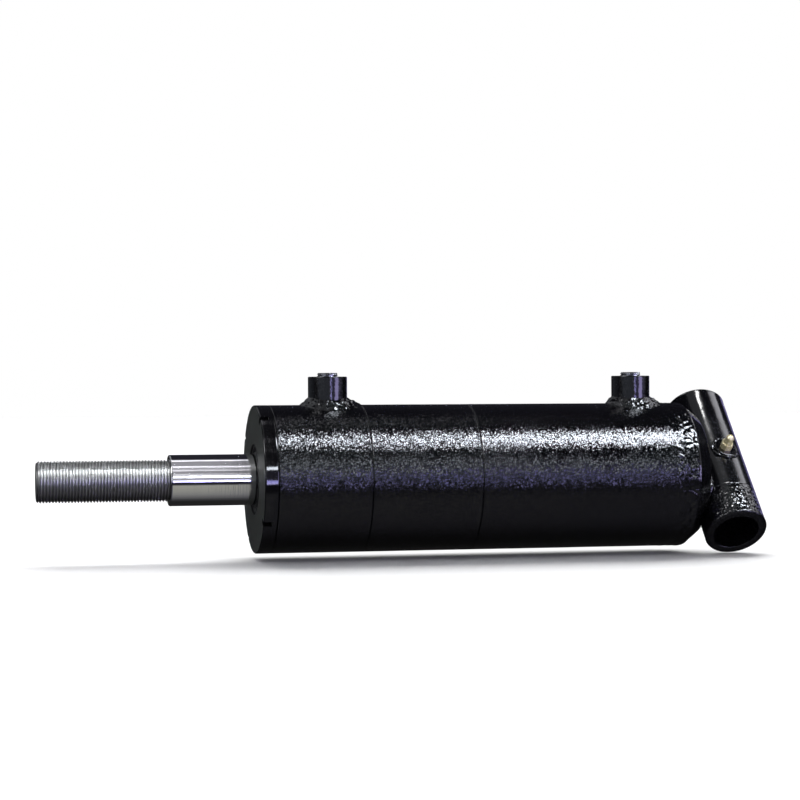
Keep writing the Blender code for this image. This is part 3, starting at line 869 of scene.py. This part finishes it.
# ---------------------------------------------------------------- gland


def make_gland():
    neck_r = BORE_R - GAP
    neck_end_x = FACE_X + 0.0420
    nose_r = 0.0330
    nose_x = high("gland").x
    bore_r = ROD_R + GAP
    outline = [
        (FACE_X, RECESS_R, 0.0006),
        (FACE_X, BARREL_R, 0.0011),
        (FLANGE_END_X - GAP, BARREL_R, 0.0006),
        (FLANGE_END_X - GAP, neck_r),
        (neck_end_x, neck_r, 0.0008),
        (neck_end_x, nose_r),
        (nose_x, nose_r, 0.0008),
        (nose_x, bore_r),
        (FACE_X + RECESS_DEPTH, bore_r),
        (FACE_X + RECESS_DEPTH, RECESS_R),
    ]
    gland = turned("gland_head", rounded(outline), GLAND_PAINT, 256, 0.003)
    tools = []
    for index in range(4):
        angle = SLOT_PHASE + math.tau * index / 4
        outward = Vector((0, -math.cos(angle), math.sin(angle)))
        builder = bmesh.new()
        bmesh.ops.create_cube(builder, size=1)
        tool = finish_piece("slot_tool_%d" % (index + 1), builder, None)
        across = outward.cross(Vector((1, 0, 0)))
        turn = Matrix((Vector((1, 0, 0)), -across, outward)).transposed().to_4x4()
        size = Matrix.Diagonal((2 * SLOT_LENGTH, SLOT_WIDTH, 2 * SLOT_DEPTH, 1))
        tool.matrix_world = Matrix.Translation(Vector((FACE_X, 0, 0)) + BARREL_R * outward) @ turn @ size
        cut(gland, tool)
        tools.append(tool)
    bake(gland, tools)
    on_body(gland, "gland_paint", "barrel", "gland")


def make_wiper():
    """Ring in the recess with a raised lip that touches the rod."""
    inner = ROD_R + 0.0001
    floor = FACE_X + RECESS_DEPTH
    outline = [
        (FACE_X + 0.0004, inner),
        (FACE_X + 0.0004, inner + 0.0009, 0.0003),
        (FACE_X + 0.0028, inner + 0.0020, 0.0006),
        (FACE_X + 0.0028, RECESS_R - 0.0022, 0.0005),
        (FACE_X + 0.0012, RECESS_R - 0.0014, 0.0004),
        (FACE_X + 0.0012, RECESS_R - 0.0002),
        (floor - 0.0002, RECESS_R - 0.0002),
        (floor - 0.0002, inner),
    ]
    wiper = turned("wiper_ring", rounded(outline), RUBBER, 128, 0.002)
    on_body(wiper, "black_rubber", "barrel", "rod_wiper")


# ---------------------------------------------------------------- pieces kept from the frame

KEPT = {
    "rod_seal": URETHANE,
    "gland_o_ring": RUBBER,
    "gland_backup_ring": NYLON,
    "rod_guide_ring": NYLON,
    "piston": IRON,
    "piston_guide_front": NYLON,
    "piston_guide_rear": NYLON,
    "piston_seal": URETHANE,
    "piston_o_ring": RUBBER,
    "piston_nut": STEEL,
    "grease_ball": STEEL,
    "grease_spring": STEEL,
}

# ---------------------------------------------------------------- make the pieces

make_barrel()
make_groove_weld()
make_base_cap()
make_pin_tube()
make_saddle_bead("saddle_bead_upper", "pin_tube_weld_upper", 1)
make_saddle_bead("saddle_bead_lower", "pin_tube_weld_lower", -1)
make_grease_pad()
make_grease_pad_bead()
make_grease_fitting()
for end, left_spread, right_spread, seed in (("rod", 0.0064, 0.0106, 1.0), ("base", 0.0050, 0.0090, 4.0)):
    make_port_boss(end)
    make_port_bead(end, left_spread, right_spread, seed)
    make_port_plug(end)
make_rod()
make_gland()
make_wiper()
for node, material in KEPT.items():
    mesh = frame["nodes"][node].data
    mesh.materials.clear()
    mesh.materials.append(material)

# ---------------------------------------------------------------- floor, light and camera


def make_floor():
    builder = bmesh.new()
    bmesh.ops.create_grid(builder, x_segments=1, y_segments=1, size=6)
    material, build = new_shader("pale_floor")
    speckle = build.noise(build.coordinates(), 0.4, 3.0)
    colour = build.mix(speckle, (0.86, 0.86, 0.86, 1), (0.88, 0.88, 0.88, 1))
    build.surface(colour, 0.9)
    floor = finish_piece("floor", builder, material)
    floor.location = (0.25, 3.0, CAD_BOX[0].z - 0.0004)
    floor.visible_glossy = False


# Strips of light: start and end angle, softness, sideways limits, sideways fade, colour.
WINDOW_LINES = (
    # thin lines seen by the gland's rim
    (17.8, 20.3, 0.8, 0.152, 0.17, 0.010, (12, 12.5, 13.5)),
    (-5.1, -3.0, 0.8, 0.152, 0.17, 0.010, (7.0, 6.7, 12.5)),
    # their broader ends seen by the barrel
    (17.3, 21.3, 1.2, 0.19, 0.22, 0.16, (10.5, 11.3, 12.8)),
    (-3.0, 0.4, 0.8, 0.19, 0.21, 0.14, (6.6, 6.3, 14.5)),
)
KEY_LAMP = (58, 69, 3.5, 0.28, 0.62, 0.09, (42, 44.5, 49))
WALLS_AND_LAMPS = (
    # pale ceiling to the left, seen by the rod from above
    (70, 150, 12.0, -0.42, -0.02, 0.03, (0.36, 0.37, 0.39)),
    (98, 110, 4.0, -0.42, -0.02, 0.03, (0.60, 0.61, 0.64)),
    # side walls seen by the flanks of the thread
    (8, 80, 6.0, -0.95, -0.50, 0.08, (0.55, 0.56, 0.58)),
    (8, 80, 6.0, 0.66, 0.95, 0.08, (0.60, 0.60, 0.66)),
    # lamps behind to the right and in front to the left
    (104, 122, 6.0, 0.56, 0.86, 0.05, (3, 3, 3.2)),
    (52, 72, 4.0, -0.80, -0.50, 0.06, (9, 9, 9.4)),
    # violet window and grey wall seen by the upright bosses
    (-4, 14, 3.0, 0.58, 0.82, 0.04, (4.2, 3.8, 7.2)),
    (-4, 14, 3.0, 0.26, 0.90, 0.16, (0.45, 0.42, 0.72)),
    (-4, 14, 3.0, -0.88, -0.06, 0.12, (0.38, 0.42, 0.50)),
    # faint wall behind to the left, on both sides of the horizon
    (165, 181, 8.0, -0.99, -0.50, 0.10, (0.11, 0.12, 0.14)),
    (-181, -165, 8.0, -0.99, -0.50, 0.10, (0.11, 0.12, 0.14)),
    # faint violet wall behind, seen along the edge of the cross tube
    (164, 179, 4.0, 0.54, 0.66, 0.05, (0.40, 0.36, 0.75)),
)
# What the rod sees lies between these sideways limits: ceiling panels as start, end and level.
ROD_SIDE = (0.03, 0.145, 0.005)
ROD_PANELS = (
    (-5, 108, 0.38),
    (97, 103, 1.40),
    (61, 68, 1.20),
    (53, 56, 0.25),
    (44.5, 49, 0.95),
    (25, 30, 0.50),
    (17, 21.5, 0.65),
    (-1.5, 2.5, 0.65),
)


def make_room(build):
    """What reflections see.

    A direction is an angle in degrees, 0 level towards the viewer, 90 up and -90 down, and a sideways
    part, from -1 towards the rod to 1 towards the base.
    """
    axes = build.add("ShaderNodeSeparateXYZ", {0: build.add("ShaderNodeTexCoord").outputs["Generated"]})
    side, depth, height = axes.outputs
    towards = build.math("MULTIPLY", depth, -1.0)
    angle = build.math("MULTIPLY", build.math("ARCTAN2", height, towards), math.degrees(1))
    # the window lines rise towards the base end
    slope = build.math("MULTIPLY", build.math("SUBTRACT", side, 0.165), 58.0)
    sloping = build.math("SUBTRACT", angle, slope)

    def strip(room, across, start, end, soft, left, right, fade, colour):
        """Add a light that fills a range of angles and of sideways directions."""
        share = build.band(across, start, end, soft)
        share = build.math("MULTIPLY", share, build.band(side, left, right, fade))
        return build.sum(room, build.scaled(colour, share))

    below = build.smooth(angle, -112, -60)
    ground = build.mix(below, (0.020, 0.020, 0.020, 1), (0.135, 0.135, 0.165, 1))
    ahead = build.band(side, -0.45, 0.45, 0.15)
    ground = build.scaled(ground, build.smooth(ahead, 0.0, 1.0, 0.2, 1.0))
    room = build.mix(build.smooth(angle, -24, -15), ground, (0.022, 0.022, 0.030, 1))
    for line in WINDOW_LINES:
        room = strip(room, sloping, *line)
    room = strip(room, angle, *KEY_LAMP)
    for start, end, level in ROD_PANELS:
        room = strip(room, angle, start, end, 1.5, *ROD_SIDE, (level, 0.99 * level, 1.08 * level))
    rise = build.smooth(angle, -105, -20)
    floor_share = build.math("MULTIPLY", rise, build.smooth(angle, -22, -17, 1.0, 0.0))
    floor_share = build.math("MULTIPLY", floor_share, build.band(side, *ROD_SIDE))
    room = build.sum(room, build.scaled((0.27, 0.27, 0.20), floor_share))
    for light in WALLS_AND_LAMPS:
        room = strip(room, angle, *light)
    return room


def make_world():
    """White surroundings for the eye, a soft dome for matt surfaces and a studio for reflections."""
    world = bpy.data.worlds.new("studio")
    bpy.context.scene.world = world
    world.use_nodes = True
    world.cycles.sampling_method = "NONE"
    build = Shader(world.node_tree)
    room = make_room(build)
    rays = build.add("ShaderNodeLightPath")
    shown = build.mix(rays.outputs["Is Diffuse Ray"], room, (0.32, 0.32, 0.33, 1))
    shown = build.mix(rays.outputs["Is Camera Ray"], shown, (1, 1, 1, 1))
    background = build.add("ShaderNodeBackground", {"Color": shown, "Strength": 1.0})
    output = build.add("ShaderNodeOutputWorld")
    build.tree.links.new(background.outputs[0], output.inputs["Surface"])


def place_light(name, kind, energy, location, direction):
    lamp = bpy.data.lights.new(name, kind)
    lamp.energy = energy
    holder = bpy.data.objects.new(name, lamp)
    holder.location = location
    holder.rotation_euler = direction.to_track_quat("-Z", "Y").to_euler()
    bpy.context.collection.objects.link(holder)
    return holder


def make_lights():
    """A wide sun from above and behind for the floor's shadow, and a small lamp for the cross tube only.

    The lamp glints on the tube's upper end. The sun doesn't show in reflections.
    """
    sun = place_light("back_sun", "SUN", 5.2, (0, 1, 1), Vector((-0.17, -0.70, -0.70)))
    sun.data.angle = math.radians(56)
    sun.visible_glossy = False
    upper_end = Vector((PIN_X, 0, 0)) + (UPPER_END + 0.004) * PIN_DIRECTION
    towards = Vector((0.06, -0.09, 0.99))
    distance = 0.30
    glint = place_light("glint_lamp", "AREA", 0.17, upper_end + distance * towards, -towards)
    glint.data.shape = "RECTANGLE"
    glint.data.size = 0.07
    glint.data.size_y = 0.02
    lit = bpy.data.collections.new("lit_by_glint_lamp")
    lit.objects.link(bpy.data.objects["pin_tube_body"])
    glint.light_linking.receiver_collection = lit


def make_camera():
    """Long lens on the viewer's side, near the cylinder's height and 12 degrees towards the rod."""
    camera = bpy.data.cameras.new("camera")
    camera.lens = 99
    camera.sensor_width = 36
    holder = bpy.data.objects.new("camera", camera)
    holder.location = (PIN_X - 0.5571, -1.4929, 0.0585)
    holder.rotation_euler = (math.radians(89.8265), math.radians(0.2773), math.radians(-12.3023))
    bpy.context.collection.objects.link(holder)
    bpy.context.scene.camera = holder


make_floor()
make_world()
make_lights()
make_camera()
bpy.context.scene.view_settings.view_transform = "Standard"
